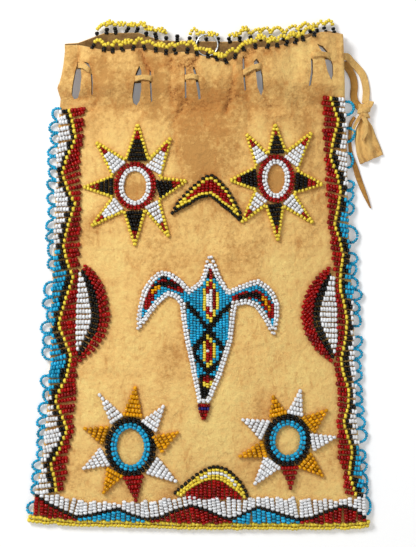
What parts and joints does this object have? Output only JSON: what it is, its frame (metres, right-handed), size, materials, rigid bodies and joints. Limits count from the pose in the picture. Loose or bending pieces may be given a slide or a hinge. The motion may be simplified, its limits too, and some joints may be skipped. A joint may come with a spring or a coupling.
{
  "type": "beaded medicine bag",
  "caption": "Flat hide bag with lane-stitched bead stars, winged figure and wave borders, looped bead edging, a thong drawstring through neck slits and a hanging ring.",
  "frame": {"origin": "centre of the footprint of the bag, on the surface that its back lies on", "axes": "+Z out of the beaded front, +Y from the sewn foot to the mouth, +X to the right seen from the front"},
  "size_m": [0.2151, 0.3087, 0.0226],
  "materials": {
    "hide": "matt",
    "lace": "matt",
    "dark_lace": "matt",
    "ring_steel": "satin",
    "white_beads": "gloss",
    "red_beads": "gloss",
    "black_beads": "gloss",
    "yellow_beads": "gloss",
    "blue_beads": "gloss",
    "amber_beads": "gloss"
  },
  "bodies": {
    "root": {"back_panel": "hide", "chevron_field": "red_beads", "chevron_outline": "black_beads", "drawstring": "lace", "drawstring_fan_end": "lace", "drawstring_knot": "lace", "drawstring_lower_strand": "dark_lace", "drawstring_tail": "dark_lace", "drawstring_upper_strand": "lace", "figure_flank_left": "blue_beads", "figure_flank_right": "blue_beads", "figure_lattice": "black_beads", "figure_outline": "white_beads", "figure_tip": "red_beads", "figure_wings": "blue_beads", "foot_band_black": "black_beads", "foot_band_blue_left": "blue_beads", "foot_band_blue_right": "blue_beads", "foot_band_red_left": "red_beads", "foot_band_red_middle": "red_beads", "foot_band_red_right": "red_beads", "foot_band_white": "white_beads", "foot_edging": "yellow_beads", "front_panel": "hide", "half_moon_left_black": "black_beads", "half_moon_left_red": "red_beads", "half_moon_left_white": "white_beads", "half_moon_right_black": "black_beads", "half_moon_right_red": "red_beads", "half_moon_right_white": "white_beads", "hanging_ring": "ring_steel", "left_band_black": "black_beads", "left_band_border": "white_beads", "left_band_red": "red_beads", "left_band_yellow": "yellow_beads", "mound_black": "black_beads", "mound_red": "red_beads", "mound_yellow": "yellow_beads", "mouth_edging_back": "yellow_beads", "mouth_edging_front": "yellow_beads", "right_band_black": "black_beads", "right_band_border": "white_beads", "right_band_red": "red_beads", "right_band_yellow": "yellow_beads", "side_edging_left": "blue_beads", "side_edging_right": "blue_beads", "star_lower_left_inner_ring": "blue_beads", "star_lower_left_outer_ring": "black_beads", "star_lower_left_rays": "amber_beads", "star_lower_right_inner_ring": "blue_beads", "star_lower_right_outer_ring": "black_beads", "star_lower_right_rays": "amber_beads", "star_upper_left_inner_ring": "white_beads", "star_upper_left_outer_ring": "red_beads", "star_upper_left_outline": "yellow_beads", "star_upper_left_rays": "black_beads", "star_upper_right_inner_ring": "white_beads", "star_upper_right_outer_ring": "red_beads", "star_upper_right_outline": "yellow_beads", "star_upper_right_rays": "black_beads"}
  },
  "joints": []
}
